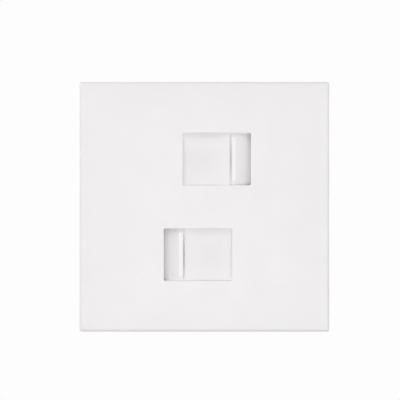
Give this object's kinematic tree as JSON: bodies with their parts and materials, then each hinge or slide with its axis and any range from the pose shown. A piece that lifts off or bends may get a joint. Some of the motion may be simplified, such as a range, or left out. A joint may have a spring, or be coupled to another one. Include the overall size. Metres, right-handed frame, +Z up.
{
  "type": "keystone faceplate",
  "caption": "Square clip-on wall plate with sprung sliding shutters over keystone jack ports, on a screw-fixed mounting frame.",
  "frame": {"origin": "midway between the two fixing screws, on the wall plane at the back of the mounting frame", "axes": "+Y into the wall along the screws, so the front face looks along -Y; +Z up; +X to the right seen from the front"},
  "size_m": [0.086, 0.031, 0.086],
  "materials": {
    "cover_plastic": "white moulded plastic with a soft sheen",
    "frame_plastic": "white moulded plastic, fine spark-eroded texture",
    "housing_plastic": "white moulded plastic, fine spark-eroded texture",
    "shutter_plastic": "white moulded plastic, polished on the bar",
    "spring_wire": "drawn stainless spring wire",
    "zinc_steel": "bright zinc-plated steel"
  },
  "bodies": {
    "base": {"mounting_frame": "frame_plastic", "cover_plate": "cover_plastic", "upper_port_housing": "housing_plastic", "lower_port_housing": "housing_plastic", "upper_shutter_spring": "spring_wire", "lower_shutter_spring": "spring_wire", "left_fixing_screw": "zinc_steel", "right_fixing_screw": "zinc_steel"},
    "upper_door": {"upper_shutter": "shutter_plastic"},
    "lower_door": {"lower_shutter": "shutter_plastic"}
  },
  "joints": [
    {"name": "upper_shutter_slide", "type": "slide", "parent": "base", "child": "upper_door", "axis": [-1, 0, 0], "range_m": [0, 0.01596], "stiffness_N_per_m": 200, "springref_m": -0.003, "deforming": ["upper_shutter_spring"]},
    {"name": "lower_shutter_slide", "type": "slide", "parent": "base", "child": "lower_door", "axis": [1, 0, 0], "range_m": [0, 0.01596], "stiffness_N_per_m": 200, "springref_m": -0.003, "deforming": ["lower_shutter_spring"]}
  ]
}
